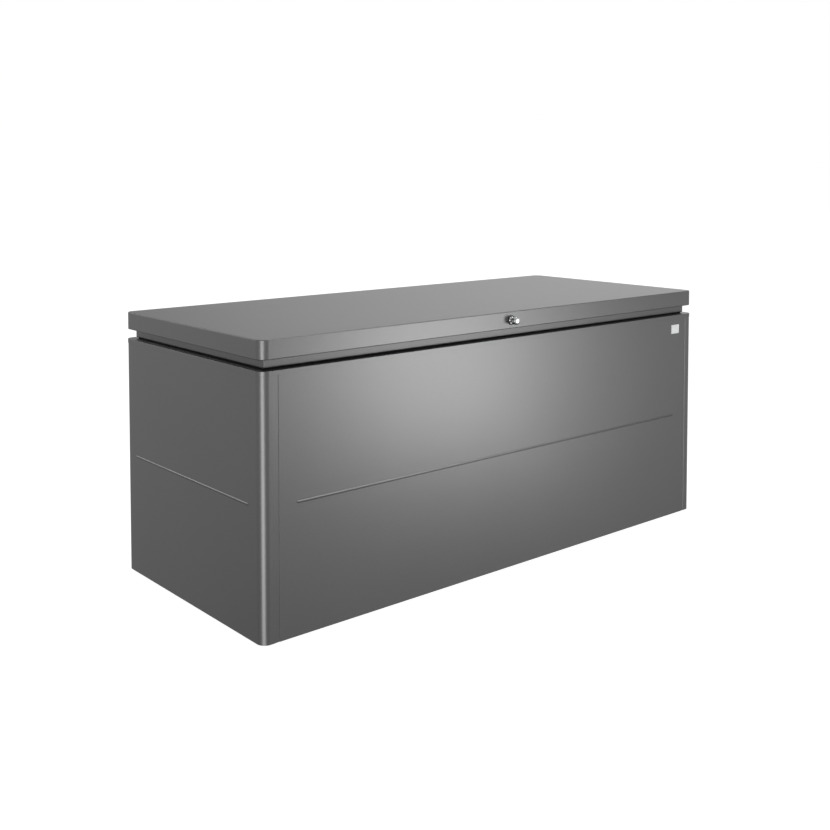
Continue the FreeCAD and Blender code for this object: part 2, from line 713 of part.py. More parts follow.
def lock_hook():
    """Hook plate on the spindle. Unlocked it points to the left inside the lid, nose down."""
    y0 = -DEPTH / 2 + HOOK_INSET
    hub = cylinder((0, y0, LOCK_Z), (0, 1, 0), HOOK_HUB_R, HOOK_THICK)
    arm = box(-HOOK_REACH, 0, y0, y0 + HOOK_THICK, LOCK_Z - HOOK_WIDTH / 2, LOCK_Z + HOOK_WIDTH / 2)
    outer = cylinder((0, y0, LOCK_Z), (0, 1, 0), HOOK_REACH, HOOK_THICK)
    throat = cylinder((0, y0, LOCK_Z), (0, 1, 0), HOOK_THROAT, HOOK_THICK)
    window = box(-HOOK_REACH, -HOOK_THROAT / 2, y0, y0 + HOOK_THICK, LOCK_Z - HOOK_NOSE, LOCK_Z)
    nose = outer.cut(throat).common(window)
    hook = joined(hub, arm.common(outer), nose)
    hole = cylinder((0, y0, LOCK_Z), (0, 1, 0), SPINDLE_R + SPINDLE_FIT, HOOK_THICK)
    return only_solid(hook.cut(hole))


def lock_nut():
    """Hexagonal nut that holds the hook on the spindle."""
    y0 = -DEPTH / 2 + HOOK_INSET + HOOK_THICK
    nut = hexagon(NUT_R, NUT_THICK)
    nut = only_solid(nut.cut(cylinder((0, 0, 0), (0, 0, 1), SPINDLE_R + SPINDLE_FIT, NUT_THICK)))
    nut.rotate(V(0, 0, 0), V(1, 0, 0), -90)
    nut.translate(V(0, y0, LOCK_Z))
    return nut


def lock_keeper():
    """Keeper on the rim's inner edge. The hook's nose swings in under its tongue."""
    face = -DEPTH / 2 + RIM_LEDGE
    low = RIM_TOP - RIM_DROP
    back = box(-KEEPER_HALF, KEEPER_HALF, face, face + KEEPER_SHEET, low, RIM_TOP)
    block = box(*KEEPER_X, face, face + KEEPER_TONGUE, low, RIM_TOP)
    swing = HOOK_THROAT - KEEPER_CLEAR
    tongue = block.common(cylinder((0, face, LOCK_Z), (0, 1, 0), swing, KEEPER_TONGUE))
    return joined(back, tongue)


# --- Fasteners -----------------------------------------------------------------------------------


def hexagon(radius, thick):
    """A hexagonal block standing on z = 0."""
    turns = [corner * math.tau / 6 for corner in range(6)]
    corners = [(radius * math.cos(turn), radius * math.sin(turn), 0) for turn in turns]
    return prism(corners, (0, 0, thick))


def domed_head(place, direction):
    """A pan screw or rivet head that stands on a surface."""
    edge = SCREW_THICK - SCREW_DISH
    inner = SCREW_R - SCREW_DISH
    profile = [(0, 0, 0), (SCREW_R, 0, 0), (SCREW_R, 0, edge), (inner, 0, SCREW_THICK), (0, 0, SCREW_THICK)]
    head = turned(profile, (0, 0, 0), (0, 0, 1))
    return placed_on(head, place, direction)


def seam_nut(place, direction):
    """A nut on a weld stud."""
    stud = cylinder((0, 0, 0), (0, 0, 1), SEAM_STUD_R, SEAM_STUD_LENGTH)
    return placed_on(joined(hexagon(STUD_NUT_R, STUD_NUT_THICK), stud), place, direction)


def placed_on(shape, place, direction):
    """Moves a piece drawn up the Z axis to a place and a direction."""
    shape.Placement = FreeCAD.Placement(V(*place), FreeCAD.Rotation(V(0, 0, 1), V(*direction)))
    return shape


def seam_nuts():
    """Nuts along the four laps between the panels."""
    nuts = []
    face = DEPTH / 2 - HEM_INNER
    for x in (-SEAM_X + LAP / 2, SEAM_X - LAP / 2):
        for z in SEAM_STUD_Z:
            nuts.append(seam_nut((x, -face, z), (0, 1, 0)))
            nuts.append(seam_nut((x, face, z), (0, -1, 0)))
    return Part.makeCompound(nuts)


def rim_rivets():
    """Rivets through the rim's inner edge into the tops of the uprights."""
    z = RIM_TOP - RIM_DROP / 2
    rivets = []
    for offset in (-POST_WIDTH / 4, POST_WIDTH / 4):
        for side, along in UPRIGHTS:
            if side != "front":
                rivet = domed_head((along + offset, RIM_LEDGE, z), (0, 1, 0))
                rivets.append(on_wall(rivet, side))
    return Part.makeCompound(rivets)


def floor_screws():
    """Screws that hold the floor sheet to the base frame."""
    row_y = DEPTH / 2 - FLOOR_SCREW_INSET
    row_x = WIDTH / 2 - FLOOR_SCREW_INSET
    places = [(x, y) for x in FLOOR_SCREW_X for y in (-row_y, row_y)]
    places += [(x, y) for x in (-row_x, row_x) for y in FLOOR_SCREW_Y]
    return Part.makeCompound([domed_head((x, y, FLOOR_TOP), (0, 0, 1)) for x, y in places])


def hinge_screws():
    """Screws that hold the lid leaves to the back of the collar."""
    y = DEPTH / 2 - COLLAR_INSET + LEAF
    z = (HINGE_Z + KNUCKLE_R + LID_BOTTOM) / 2
    places = [(x + offset, y, z) for x in HINGE_X for offset in HINGE_SCREW_X]
    return Part.makeCompound([domed_head(place, (0, 1, 0)) for place in places])


def bracket_rivets():
    """Rivet heads on top of the strut brackets' feet."""
    head_y = pivot(HEAD_ANGLE)[0]
    z = LID_BOTTOM + SHEET + BRACKET_SHEET
    x = WIDTH / 2 - BRACKET_INSET + BRACKET_FOOT / 2
    places = [(side * x, head_y + dy, z) for side in (-1, 1) for dy in (-BRACKET_HALF / 2, BRACKET_HALF / 2)]
    return Part.makeCompound([domed_head(place, (0, 0, 1)) for place in places])


# --- The nodes -----------------------------------------------------------------------------------

# Each upright's wall and its place along that wall, seen from outside the box.
STRUT_POST_Y = pivot(FOOT_ANGLE)[0]
UPRIGHTS = (("front", 0.0), ("rear", 0.0), ("left", -STRUT_POST_Y), ("right", STRUT_POST_Y))


def cabinet_nodes():
    """The fixed cabinet."""
    panel = side_panel()
    nodes = {"side_panel_left": mirrored(panel), "side_panel_right": panel}
    nodes["front_panel"] = long_panel("front")
    nodes["rear_panel"] = long_panel("rear")
    nodes["top_rim"] = top_rim()
    nodes["badge_plate"] = badge_plate()
    for side in ("front", "rear", "left", "right"):
        nodes["base_rail_" + side] = base_rail(side)
    for name, x in (("left", -CROSS_X), ("centre", 0.0), ("right", CROSS_X)):
        nodes["base_cross_member_" + name] = cross_member(x)
    nodes["floor_panel"] = floor_panel()
    nodes["foot_glides"] = foot_glides()
    nodes["corner_gussets"] = corner_gussets()
    for side, along in UPRIGHTS:
        nodes["upright_" + side] = post(side, along)
    nodes["strut_foot_left"] = mirrored(strut_foot())
    nodes["strut_foot_right"] = strut_foot()
    nodes["lock_keeper"] = at_lock(lock_keeper())
    return nodes


def lid_nodes():
    """The lid and what is fixed to it."""
    nodes = {"lid_shell": lid_shell(), "lid_seal": lid_seal()}
    for side in ("front", "rear", "left", "right"):
        nodes["lid_collar_" + side] = lid_collar(side)
    for name, x in zip(("far_left", "left", "right", "far_right"), LID_RIB_X):
        nodes["lid_rib_" + name] = lid_rib(x)
    nodes["strut_bracket_left"] = mirrored(strut_bracket())
    nodes["strut_bracket_right"] = strut_bracket()
    nodes["lock_rosette"] = at_lock(lock_rosette())
    nodes["lock_housing"] = at_lock(lock_housing())
    return nodes


def hinge_nodes():
    """Leaves and pins of the three hinges."""
    nodes = {"hinge_pins": hinge_pins()}
    for name, x in zip(("left", "centre", "right"), HINGE_X):
        nodes["hinge_body_leaf_" + name] = body_leaf(x)
        nodes["hinge_lid_leaf_" + name] = lid_leaf(x)
    return nodes


def moving_nodes():
    """Gas struts and the lock's turning pieces."""
    cylinder_piece = strut_cylinder()
    rod_piece = strut_rod()
    nodes = {"strut_cylinder_right": cylinder_piece, "strut_cylinder_left": mirrored(cylinder_piece)}
    nodes["strut_rod_right"] = rod_piece
    nodes["strut_rod_left"] = mirrored(rod_piece)
    nodes["lock_knob"] = at_lock(lock_knob())
    nodes["lock_plug"] = at_lock(lock_plug())
    nodes["lock_hook"] = at_lock(lock_hook())
    nodes["lock_nut"] = at_lock(lock_nut())
    return nodes


def fastener_nodes():
    """Groups of alike fasteners."""
    nodes = {"seam_nuts": seam_nuts(), "rim_rivets": rim_rivets(), "floor_screws": floor_screws()}
    nodes["hinge_screws"] = hinge_screws()
    nodes["bracket_rivets"] = bracket_rivets()
    return nodes


def save(name, shape):
    """Writes one node's STEP file."""
    if not shape.isValid():
        raise ValueError(name + " is not a sound solid")
    shape.exportStep("parts/" + name + ".step")


def main():
    """Makes every node."""
    os.makedirs("parts", exist_ok=True)
    nodes = {**cabinet_nodes(), **lid_nodes(), **hinge_nodes(), **moving_nodes(), **fastener_nodes()}
    for name, shape in nodes.items():
        save(name, shape)
    print(len(nodes), "nodes")


main()
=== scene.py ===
import json
import math

import bmesh
import bpy
from mathutils import Matrix, Vector


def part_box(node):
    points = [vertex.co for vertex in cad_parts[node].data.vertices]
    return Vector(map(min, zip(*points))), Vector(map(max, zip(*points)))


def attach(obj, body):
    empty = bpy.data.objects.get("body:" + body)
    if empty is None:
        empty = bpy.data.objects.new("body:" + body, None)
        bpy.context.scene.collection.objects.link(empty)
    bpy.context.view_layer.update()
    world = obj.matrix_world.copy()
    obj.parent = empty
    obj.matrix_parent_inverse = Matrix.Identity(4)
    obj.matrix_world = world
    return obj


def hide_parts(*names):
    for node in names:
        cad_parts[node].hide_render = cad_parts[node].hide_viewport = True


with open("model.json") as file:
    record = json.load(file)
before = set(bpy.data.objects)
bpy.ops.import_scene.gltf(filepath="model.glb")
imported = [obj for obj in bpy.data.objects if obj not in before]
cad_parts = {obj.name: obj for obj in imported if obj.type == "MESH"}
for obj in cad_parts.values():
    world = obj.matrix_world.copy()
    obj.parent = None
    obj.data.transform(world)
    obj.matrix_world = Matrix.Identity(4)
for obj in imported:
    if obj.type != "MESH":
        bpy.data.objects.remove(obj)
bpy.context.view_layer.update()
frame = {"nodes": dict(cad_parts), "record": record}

MM = 0.001

# --- Places from the frame, and the sizes that its boxes don't give -------------------------------

rim_low, rim_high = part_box("top_rim")
lid_low, lid_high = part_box("lid_shell")
front_low, front_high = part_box("front_panel")
side_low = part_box("side_panel_right")[0]
collar_low, collar_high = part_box("lid_collar_front")
seal_low, seal_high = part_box("lid_seal")
rosette_low, rosette_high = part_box("lock_rosette")
badge_low, badge_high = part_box("badge_plate")

# Half width and half depth of the rim, and how far the walls and the lid's sides stand back from it
OUT_X = rim_high.x
OUT_Y = rim_high.y
PANEL_INSET = 1.2 * MM
SHEET = 1.2 * MM
CORNER_R = 28 * MM
INNER_CORNER_R = 4 * MM

RIM_TOP = rim_high.z
RIM_BAND_LOW = RIM_TOP - 14 * MM
RIM_BAND_CHAMFER = 0.3 * MM
RIM_LEDGE = 38 * MM
RIM_EDGE_R = 0.9 * MM

LID_TOP = lid_high.z
LID_BOTTOM = lid_low.z
LID_EDGE_R = 2.5 * MM
LID_HEM_R = 2.6 * MM
LID_FLANGE = 40 * MM

# Insets from the rim's outline
COLLAR_OUTER = OUT_Y + collar_low.y
COLLAR_INNER = OUT_Y + collar_high.y
SEAL_OUTER = OUT_Y - seal_high.y

COLLAR_LOW = collar_low.z
COLLAR_BEND_R = 5 * MM
SEAL_WIDTH = 5.5 * MM
SEAL_LIP = 0.6 * MM
SEAL_CORNER_R = 5 * MM
SEAL_INNER_CORNER_R = 1.5 * MM

# Seam of a long panel, the lap behind it, and the step up to the side panel's corner
SEAM_X = front_high.x
SEAM_LAP_X = side_low.x
STEP_X = SEAM_X + 15 * MM
STEP_HALF = 0.5 * MM
PANEL_EDGE_R = 0.55 * MM
PANEL_LOW = front_low.z
PANEL_TOP = front_high.z
LOWEST_ROW = PANEL_LOW + 20 * MM
HIGHEST_ROW = PANEL_TOP - 40 * MM

# Pressed bead across the panels
BEAD_Z = 407.5 * MM
BEAD_HALF_HEIGHT = 4 * MM
BEAD_HALF_CREST = 1.2 * MM
BEAD_PROUD = 1.8 * MM
BEAD_END = 5 * MM
BEAD_HALF_FRONT = 881 * MM
BEAD_HALF_SIDE = 351 * MM

# Middle of the lock on the lid's face, and the lock's sizes in millimetres, outwards from that face
LOCK = Vector(((rosette_low.x + rosette_high.x) / 2, lid_low.y, (rosette_low.z + rosette_high.z) / 2))
ROSETTE_R = 16.5
ROSETTE_THICK = 2.0
LIP_R = 11.9
NECK_HOLE_R = 8.4
NECK_R = 8.0
NECK_START = 0.3
NECK_END = 9.5
SPINDLE_R = 6.0
SPINDLE_DEPTH = 50.0
KNOB_R = 13.5
KNOB_FACE = 30.0
PLUG_BORE_R = 6.25
PLUG_BORE_END = 22.0

BADGE_CORNER_R = 1.5 * MM
BADGE_EDGE = 0.35 * MM
BADGE_RAISED = 2.2 * MM
BADGE_SUNK = 0.25 * MM

# How many steps a curve is cut into: a panel's corner, the step at its seam, the bead's slopes across and
# at its ends, the badge's corners, and a full turn
CORNER_STEPS = 16
STEP_COUNT = 10
BEAD_STEPS = 4
BEAD_END_STEPS = 5
BADGE_CORNER_STEPS = 4
TURN_STEPS = 64

# Corners of a rounded rectangle: its signs, and the angle in degrees where its arc starts
QUARTERS = ((1, 1, 0), (-1, 1, 90), (-1, -1, 180), (1, -1, 270))


# --- Materials -----------------------------------------------------------------------------------


def new_material(name, colour, metallic, roughness, **sockets):
    """A material with one Principled shader, and the handles for adding texture to it."""
    made = bpy.data.materials.new(name)
    made.use_nodes = True
    tree = made.node_tree
    shader = tree.nodes["Principled BSDF"]
    shader.inputs["Base Color"].default_value = (*colour, 1)
    shader.inputs["Metallic"].default_value = metallic
    shader.inputs["Roughness"].default_value = roughness
    for socket, value in sockets.items():
        shader.inputs[socket.replace("_", " ")].default_value = value
    return made, tree, shader


def place_texture(tree, stretch=(1, 1, 1)):
    """Object coordinates, stretched along the axes."""
    where = tree.nodes.new("ShaderNodeTexCoord")
    mapping = tree.nodes.new("ShaderNodeMapping")
    mapping.inputs["Scale"].default_value = stretch
    tree.links.new(where.outputs["Object"], mapping.inputs["Vector"])
    return mapping.outputs["Vector"]


def noise(tree, vector, scale, detail=2.0, rough=0.5):
    """Fractal noise as one number for each point."""
    node = tree.nodes.new("ShaderNodeTexNoise")
    node.inputs["Scale"].default_value = scale
    node.inputs["Detail"].default_value = detail
    node.inputs["Roughness"].default_value = rough
    tree.links.new(vector, node.inputs["Vector"])
    return node.outputs["Fac"]


def cells(tree, vector, scale):
    """Random cells with one value for each, as crystals or flakes."""
    node = tree.nodes.new("ShaderNodeTexVoronoi")
    node.inputs["Scale"].default_value = scale
    tree.links.new(vector, node.inputs["Vector"])
    grey = tree.nodes.new("ShaderNodeRGBToBW")
    tree.links.new(node.outputs["Color"], grey.inputs["Color"])
    return grey.outputs["Val"]


def ramp(tree, value, low, high, span=(0.3, 0.7)):
    """Maps a number on to a range of colours."""
    node = tree.nodes.new("ShaderNodeValToRGB")
    node.color_ramp.elements[0].position = span[0]
    node.color_ramp.elements[1].position = span[1]
    node.color_ramp.elements[0].color = (*low, 1)
    node.color_ramp.elements[1].color = (*high, 1)
    tree.links.new(value, node.inputs["Fac"])
    return node.outputs["Color"]


def remap(tree, value, low, high):
    """Maps a number from 0..1 to low..high."""
    node = tree.nodes.new("ShaderNodeMapRange")
    node.inputs["To Min"].default_value = low
    node.inputs["To Max"].default_value = high
    tree.links.new(value, node.inputs["Value"])
    return node.outputs["Result"]


def bump(tree, shader, height, distance, strength=1.0):
    """Feeds a height into the shader's normal."""
    node = tree.nodes.new("ShaderNodeBump")
    node.inputs["Distance"].default_value = distance
    node.inputs["Strength"].default_value = strength
    tree.links.new(height, node.inputs["Height"])
    tree.links.new(node.outputs["Normal"], shader.inputs["Normal"])


def tinted(colour, factor):
    """A colour made lighter or darker."""
    return tuple(min(1.0, part * factor) for part in colour)


def paint(name, colour, metallic, roughness):
    """Metallic powder coat: fine bright flakes, a soft unevenness and orange peel."""
    made, tree, shader = new_material(name, colour, metallic, roughness)
    vector = place_texture(tree)
    flakes = cells(tree, vector, scale=1400)
    cloud = noise(tree, vector, scale=3.0, detail=3.0)
    mixed = tree.nodes.new("ShaderNodeMath")
    mixed.operation = "MULTIPLY_ADD"
    mixed.inputs[1].default_value = 0.35
    tree.links.new(flakes, mixed.inputs[0])
    tree.links.new(remap(tree, cloud, 0.25, 0.4), mixed.inputs[2])
    shade = ramp(tree, mixed.outputs["Value"], tinted(colour, 0.9), tinted(colour, 1.12), (0.3, 0.8))
    tree.links.new(shade, shader.inputs["Base Color"])
    fine = noise(tree, vector, scale=260)
    tree.links.new(remap(tree, fine, roughness - 0.025, roughness + 0.025), shader.inputs["Roughness"])
    bump(tree, shader, noise(tree, vector, scale=620), distance=0.012 * MM)
    return made


def galvanised(name, colour, roughness):
    """Zinc-coated sheet with its spangle."""
    made, tree, shader = new_material(name, colour, 1.0, roughness)
    vector = place_texture(tree)
    spangle = cells(tree, vector, scale=90)
    shade = ramp(tree, spangle, tinted(colour, 0.82), tinted(colour, 1.15), (0.2, 0.8))
    tree.links.new(shade, shader.inputs["Base Color"])
    tree.links.new(remap(tree, spangle, roughness - 0.08, roughness + 0.1), shader.inputs["Roughness"])
    bump(tree, shader, noise(tree, vector, scale=400, detail=3.0), distance=0.02 * MM)
    return made


def brushed(name, colour, roughness, stretch, scale=60, metallic=1.0):
    """Metal with fine lines along one direction."""
    made, tree, shader = new_material(name, colour, metallic, roughness)
    vector = place_texture(tree, stretch)
    lines = noise(tree, vector, scale, detail=4.0, rough=0.6)
    shade = ramp(tree, lines, tinted(colour, 0.88), tinted(colour, 1.08))
    tree.links.new(shade, shader.inputs["Base Color"])
    tree.links.new(remap(tree, lines, roughness - 0.08, roughness + 0.1), shader.inputs["Roughness"])
    bump(tree, shader, lines, distance=0.01 * MM)
    return made


def polished(name, colour, roughness):
    """Bright plating with faint smears."""
    made, tree, shader = new_material(name, colour, 1.0, roughness)
    vector = place_texture(tree)
    smears = noise(tree, vector, scale=90, detail=3.0)
    tree.links.new(remap(tree, smears, roughness * 0.6, roughness * 1.5), shader.inputs["Roughness"])
    shade = ramp(tree, noise(tree, vector, scale=160), tinted(colour, 0.95), tinted(colour, 1.03))
    tree.links.new(shade, shader.inputs["Base Color"])
    return made


def moulded(name, colour, roughness, grain, depth):
    """Plastic or rubber with a fine moulded grain."""
    made, tree, shader = new_material(name, colour, 0.0, roughness)
    vector = place_texture(tree)
    texture = noise(tree, vector, grain, detail=3.0)
    shade = ramp(tree, texture, tinted(colour, 0.8), tinted(colour, 1.25))
    tree.links.new(shade, shader.inputs["Base Color"])
    tree.links.new(remap(tree, texture, roughness - 0.06, roughness + 0.08), shader.inputs["Roughness"])
    bump(tree, shader, texture, depth)
    return made


PAINT = (0.207, 0.21, 0.207)
MATERIALS = {
    "metallic_paint": paint("metallic_paint", PAINT, 1.0, 0.36),
    "collar_paint": paint("collar_paint", tinted(PAINT, 0.9), 1.0, 0.42),
    "rib_paint": paint("rib_paint", tinted(PAINT, 0.95), 0.9, 0.45),
    "badge": brushed("badge", (0.96, 0.965, 0.97), 0.42, (1, 1, 12), metallic=0.1),
    "floor_sheet": brushed("floor_sheet", (0.6, 0.61, 0.62), 0.4, (0.6, 14, 14)),
    "glide": moulded("glide", (0.025, 0.025, 0.026), 0.55, 900, 0.02 * MM),
    "seal": moulded("seal", (0.012, 0.012, 0.013), 0.75, 1400, 0.03 * MM),
    "zinc_steel": galvanised("zinc_steel", (0.5, 0.51, 0.52), 0.42),
    "zinc_plate": galvanised("zinc_plate", (0.58, 0.58, 0.56), 0.34),
    "fastener": brushed("fastener", (0.62, 0.62, 0.61), 0.3, (1, 1, 1), 500),
    "hinge_steel": brushed("hinge_steel", (0.55, 0.55, 0.55), 0.32, (0.5, 20, 20)),
    "strut_black": moulded("strut_black", (0.016, 0.016, 0.017), 0.34, 500, 0.01 * MM),
    "strut_rod": polished("strut_rod", (0.72, 0.73, 0.75), 0.1),
    "lock_dark": moulded("lock_dark", (0.018, 0.018, 0.019), 0.38, 700, 0.01 * MM),
    "lock_chrome": polished("lock_chrome", (0.74, 0.75, 0.76), 0.12),
    "lock_housing": polished("lock_housing", (0.6, 0.6, 0.6), 0.25),
}


# --- Mesh helpers --------------------------------------------------------------------------------


def make_piece(name, points, faces, slot_name, body, nodes, sharp=35, bevel=0.0):
    """Makes an object from points and faces, shades it, ties it to its body and hides the CAD nodes that it
    stands in for.
    """
    mesh = bpy.data.meshes.new(name)
    mesh.from_pydata([tuple(point) for point in points], [], faces)
    build = bmesh.new()
    build.from_mesh(mesh)
    bmesh.ops.remove_doubles(build, verts=build.verts, dist=1e-7)
    bmesh.ops.recalc_face_normals(build, faces=build.faces)
    build.to_mesh(mesh)
    build.free()
    mesh.polygons.foreach_set("use_smooth", [True] * len(mesh.polygons))
    mesh.set_sharp_from_angle(angle=math.radians(sharp))
    piece = bpy.data.objects.new(name, mesh)
    bpy.context.scene.collection.objects.link(piece)
    mesh.materials.append(MATERIALS[slot_name])
    if bevel:
        soften = piece.modifiers.new("edge_bend", "BEVEL")
        soften.width = bevel
        soften.segments = 3
        soften.limit_method = "ANGLE"
        soften.angle_limit = math.radians(50)
    even = piece.modifiers.new("even_shading", "WEIGHTED_NORMAL")
    even.keep_sharp = True
    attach(piece, body)
    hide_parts(*nodes)


def arc(centre, radius, start, end, steps):
    """Points on an arc in a section, angles in degrees from the first axis to the second."""
    points = []
    for step in range(steps + 1):
        angle = math.radians(start + (end - start) * step / steps)
        points.append((centre[0] + radius * math.cos(angle), centre[1] + radius * math.sin(angle)))
    return points


def outline(inset, radius):
    """Points round the box's rounded outline, moved inwards by an inset."""
    half_x = OUT_X - inset
    half_y = OUT_Y - inset
    points = []
    for sign_x, sign_y, start in QUARTERS:
        centre = (sign_x * (half_x - radius), sign_y * (half_y - radius))
        points += arc(centre, radius, start, start + 90, CORNER_STEPS)
    return points


def outline_radius(inset):
    """Corner radius of the outline at an inset: concentric outside, tight at the inner edges."""
    return max(CORNER_R + PANEL_INSET - inset, INNER_CORNER_R)


def swept_ring(section, radius_at, closed):
    """Points and faces of a section of (inset, height) swept round the outline. An open one is capped."""
    points = []
    for inset, height in section:
        points += [Vector((x, y, height)) for x, y in outline(inset, radius_at(inset))]
    around = len(QUARTERS) * (CORNER_STEPS + 1)
    faces = []
    rows = len(section)
    for row in range(rows if closed else rows - 1):
        here = row * around
        there = (row + 1) % rows * around
        for step in range(around):
            after = (step + 1) % around
            faces.append((here + step, here + after, there + after, there + step))
    if not closed:
        faces.append(tuple(range(around)))
        faces.append(tuple(range((rows - 1) * around, rows * around)))
    return points, faces


def lathe(section, start, direction):
    """Points and faces of a section of (radius, distance along) turned about a line. Zero radii close it."""
    along = direction.normalized()
    across = along.orthogonal().normalized()
    up = along.cross(across)
    points = []
    faces = []
    for radius, distance in section:
        for step in range(TURN_STEPS):
            angle = math.tau * step / TURN_STEPS
            spoke = across * math.cos(angle) + up * math.sin(angle)
            points.append(start + along * distance + spoke * radius)
    for row in range(len(section) - 1):
        for step in range(TURN_STEPS):
            after = (step + 1) % TURN_STEPS
            here = row * TURN_STEPS
            there = here + TURN_STEPS
            faces.append((here + step, here + after, there + after, there + step))
    return points, faces


def smooth(value):
    """Eases a number between 0 and 1."""
    value = max(0.0, min(1.0, value))
    return value * value * (3 - 2 * value)


def bead_height(along, half_length, height):
    """How far the pressed bead stands out at a place along the panel and a height."""
    rise = (BEAD_HALF_HEIGHT - abs(height - BEAD_Z)) / (BEAD_HALF_HEIGHT - BEAD_HALF_CREST)
    end = (half_length - abs(along)) / BEAD_END
    return BEAD_PROUD * smooth(rise) * smooth(end)


def bead_levels():
    """Heights of the rows of a panel, close together across the bead."""
    slope = BEAD_HALF_HEIGHT - BEAD_HALF_CREST
    above = [BEAD_HALF_CREST + slope * step / BEAD_STEPS for step in range(BEAD_STEPS + 1)]
    offsets = [-offset for offset in reversed(above)] + [0] + above
    bead = [BEAD_Z + offset for offset in offsets]
    return [PANEL_LOW, LOWEST_ROW] + bead + [HIGHEST_ROW, PANEL_TOP]


def bead_stations(half_length):
    """Places along a panel, close together at the bead's ends."""
    backwards = range(BEAD_END_STEPS, -1, -1)
    ends = [half_length - BEAD_END * step / BEAD_END_STEPS for step in backwards]
    return [-place for place in reversed(ends)] + ends


def sheet_panel(path, bead_half):
    """Points and faces of a folded sheet.

    The path is a list of (point, outward normal, place along the bead, or None where the sheet has no bead).
    """
    levels = bead_levels()
    points = []
    for side in (0, 1):
        for spot, normal, along in path:
            for height in levels:
                out = bead_height(along, bead_half, height) if along is not None else 0.0
                place = spot + normal * (out - side * SHEET)
                points.append(Vector((place.x, place.y, height)))
    count = len(levels)
    columns = len(path)
    layer = columns * count
    faces = []
    for side in (0, 1):
        for column in range(columns - 1):
            for row in range(count - 1):
                first = side * layer + column * count + row
                faces.append((first, first + count, first + count + 1, first + 1))
    for column in range(columns - 1):
        for row in (0, count - 1):
            first = column * count + row
            faces.append((first, first + count, first + count + layer, first + layer))
    for column in (0, columns - 1):
        for row in range(count - 1):
            first = column * count + row
            faces.append((first, first + 1, first + 1 + layer, first + layer))
    return points, faces


# --- Cabinet skin --------------------------------------------------------------------------------


def long_panel(side):
    """Front or rear panel with its bead."""
    sign = -1 if side == "front" else 1
    normal = Vector((0, sign))
    stations = [-SEAM_X] + bead_stations(BEAD_HALF_FRONT) + [SEAM_X]
    path = [(Vector((x, sign * (OUT_Y - PANEL_INSET))), normal, x) for x in stations]
    points, faces = sheet_panel(path, BEAD_HALF_FRONT)
    nodes = [side + "_panel"]
    make_piece(side + "_skin", points, faces, "metallic_paint", "cabinet", nodes, bevel=PANEL_EDGE_R)


def step_path(sign_y):
    """The stretch of a side panel from its lap behind the long panel, over the step, to the corner."""
    deep = OUT_Y - PANEL_INSET - SHEET
    path = [(SEAM_LAP_X, deep), (SEAM_X, deep)]
    for step in range(STEP_COUNT + 1):
        share = step / STEP_COUNT
        path.append((STEP_X + STEP_HALF * (2 * share - 1), deep + SHEET * smooth(share)))
    spots = []
    for index, (x, depth) in enumerate(path):
        before = path[max(index - 1, 0)]
        after = path[min(index + 1, len(path) - 1)]
        slope = Vector((after[0] - before[0], after[1] - before[1])).normalized()
        spots.append((Vector((x, sign_y * depth)), Vector((-slope.y, sign_y * slope.x)), None))
    return spots


def corner_path(sign_y, start):
    """The stretch of a side panel round one corner of the cabinet, from an angle in degrees."""
    corner_x = OUT_X - PANEL_INSET - CORNER_R
    corner_y = OUT_Y - PANEL_INSET - CORNER_R
    spots = []
    for step in range(CORNER_STEPS + 1):
        angle = math.radians(start + 90 * step / CORNER_STEPS)
        normal = Vector((math.cos(angle), math.sin(angle)))
        spots.append((Vector((corner_x, sign_y * corner_y)) + normal * CORNER_R, normal, None))
    return spots


def side_panel(name, sign_x):
    """Side panel that wraps both corners of the cabinet."""
    path = step_path(-1) + corner_path(-1, -90)
    for along in bead_stations(BEAD_HALF_SIDE):
        path.append((Vector((OUT_X - PANEL_INSET, along)), Vector((1, 0)), along))
    path += corner_path(1, 0) + list(reversed(step_path(1)))
    turned = []
    for spot, normal, along in path:
        turned.append((Vector((sign_x * spot.x, spot.y)), Vector((sign_x * normal.x, normal.y)), along))
    points, faces = sheet_panel(turned, BEAD_HALF_SIDE)
    make_piece("side_skin_" + name, points, faces, "metallic_paint", "cabinet", ["side_panel_" + name])


def rim_piece():
    """Rim with its rolled outer edge, ledge and turned-down inner edge."""
    edge = RIM_EDGE_R
    low = rim_low.z
    inner = RIM_LEDGE
    section = [(RIM_BAND_CHAMFER, RIM_BAND_LOW), (0, RIM_BAND_LOW + RIM_BAND_CHAMFER), (0, RIM_TOP - edge)]
    section += arc((edge, RIM_TOP - edge), edge, 180, 90, steps=6)[1:]
    section += arc((inner - edge, RIM_TOP - edge), edge, 90, 0, steps=5)
    section += [(inner, low), (inner - SHEET, low), (inner - SHEET, RIM_TOP - SHEET)]
    section += [(PANEL_INSET, RIM_TOP - SHEET), (PANEL_INSET, RIM_BAND_LOW)]
    points, faces = swept_ring(section, outline_radius, True)
    make_piece("rim_skin", points, faces, "metallic_paint", "cabinet", ["top_rim"])


# --- Lid -----------------------------------------------------------------------------------------


def lid_piece():
    """Lid slab: top sheet, skirt, rolled bottom edge and the flange under it."""
    edge = (PANEL_INSET + LID_EDGE_R, LID_TOP - LID_EDGE_R)
    hem = (PANEL_INSET + LID_HEM_R, LID_BOTTOM + LID_HEM_R)
    section = arc(edge, LID_EDGE_R, 90, 180, steps=8)
    section += arc(hem, LID_HEM_R, 180, 270, steps=7)
    section += [(LID_FLANGE, LID_BOTTOM), (LID_FLANGE, LID_BOTTOM + SHEET)]
    section += arc(hem, LID_HEM_R - SHEET, 270, 180, steps=5)
    section += arc(edge, LID_EDGE_R - SHEET, 180, 90, steps=6)
    points, faces = swept_ring(section, outline_radius, False)
    make_piece("lid_skin", points, faces, "metallic_paint", "lid", ["lid_shell"])


